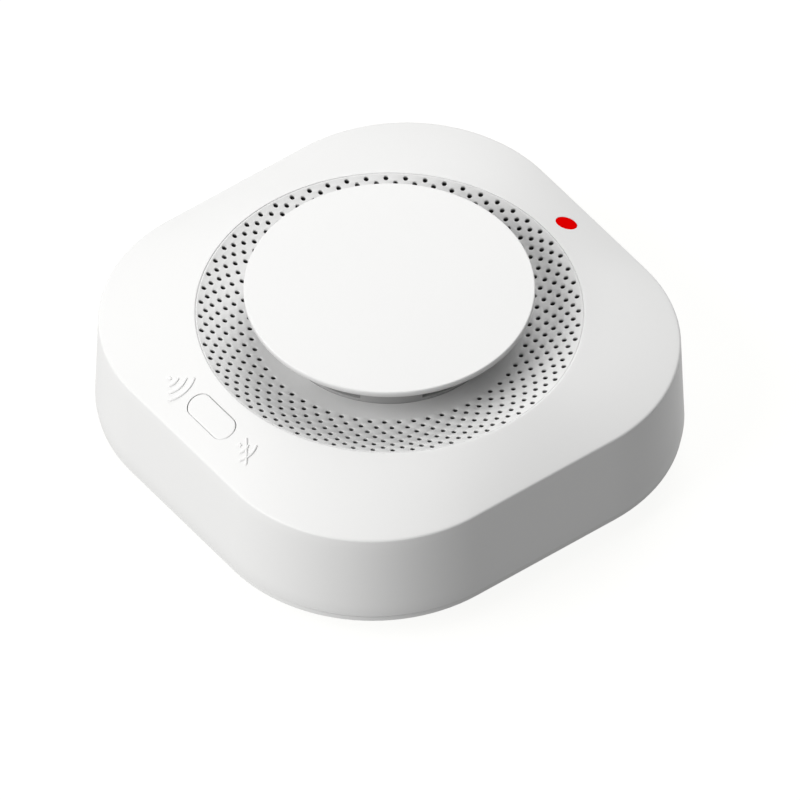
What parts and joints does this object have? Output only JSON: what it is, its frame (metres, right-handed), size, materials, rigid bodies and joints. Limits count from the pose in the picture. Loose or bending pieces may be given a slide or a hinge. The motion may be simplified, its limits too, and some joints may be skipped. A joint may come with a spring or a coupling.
{
  "type": "smoke detector",
  "caption": "Rounded square ceiling smoke detector with a perforated bowl, a raised centre cap over the smoke inlet, a test button, a status light and a twist-off bracket.",
  "frame": {"origin": "centre of the mounting bracket's ceiling face", "axes": "+Z from the ceiling face through the detector to the centre cap, -Y towards the test button, +Y towards the status light"},
  "size_m": [0.106, 0.106, 0.0415],
  "materials": {
    "cover_plastic": "fine satin moulding, warm white",
    "base_plastic": "satin moulding, warm white",
    "bracket_plastic": "satin moulding, warm white",
    "chamber_plastic": "matt black moulding",
    "screen_steel": "etched steel mesh",
    "emitter_resin": "dark infrared epoxy",
    "sensor_resin": "dark infrared epoxy",
    "board_laminate": "green solder mask",
    "chip_resin": "black moulding resin",
    "ferrite": "sintered ferrite",
    "capacitor_can": "drawn can",
    "chip_ceramic": "fired ceramic",
    "disc_brass": "rolled brass",
    "contact_steel": "nickel plated spring steel",
    "lens_red": "clear red light guide",
    "cell_jacket": "printed film over a steel can",
    "screw_steel": "zinc plated steel"
  },
  "bodies": {
    "bracket": {"mounting_bracket": "bracket_plastic"},
    "detector": {"base_housing": "base_plastic", "top_cover": "cover_plastic", "sound_grille": "cover_plastic", "inlet_collar": "cover_plastic", "centre_cap": "cover_plastic", "insect_screen": "screen_steel", "chamber_base": "chamber_plastic", "labyrinth": "chamber_plastic", "infrared_emitter": "emitter_resin", "photodiode": "sensor_resin", "circuit_board": "board_laminate", "microcontroller": "chip_resin", "signal_amplifier": "chip_resin", "boost_inductor": "ferrite", "reservoir_capacitor": "capacitor_can", "chip_components": "chip_ceramic", "siren_housing": "chamber_plastic", "piezo_disc": "disc_brass", "siren_contacts": "contact_steel", "test_switch": "chamber_plastic", "status_lens": "lens_red", "status_led": "chip_ceramic", "battery_cell_near": "cell_jacket", "battery_cell_far": "cell_jacket", "plate_contacts": "contact_steel", "spring_contacts": "contact_steel", "case_screws": "screw_steel", "board_screws": "screw_steel"},
    "button": {"test_button": "cover_plastic", "switch_plunger": "chamber_plastic"},
    "door": {"battery_door": "base_plastic", "door_pin": "screw_steel"}
  },
  "joints": [
    {"name": "detector_twist", "type": "hinge", "parent": "bracket", "child": "detector", "pos_m": [0, 0, 0], "axis": [0, 0, 1], "range_deg": [0, 15]},
    {"name": "test_button", "type": "slide", "parent": "detector", "child": "button", "axis": [0, 0, -1], "range_m": [0, 0.0005], "stiffness_N_per_m": 400},
    {"name": "battery_door", "type": "hinge", "parent": "detector", "child": "door", "pos_m": [0, -0.0095, 0.00765], "axis": [-1, 0, 0], "range_deg": [0, 95]}
  ]
}
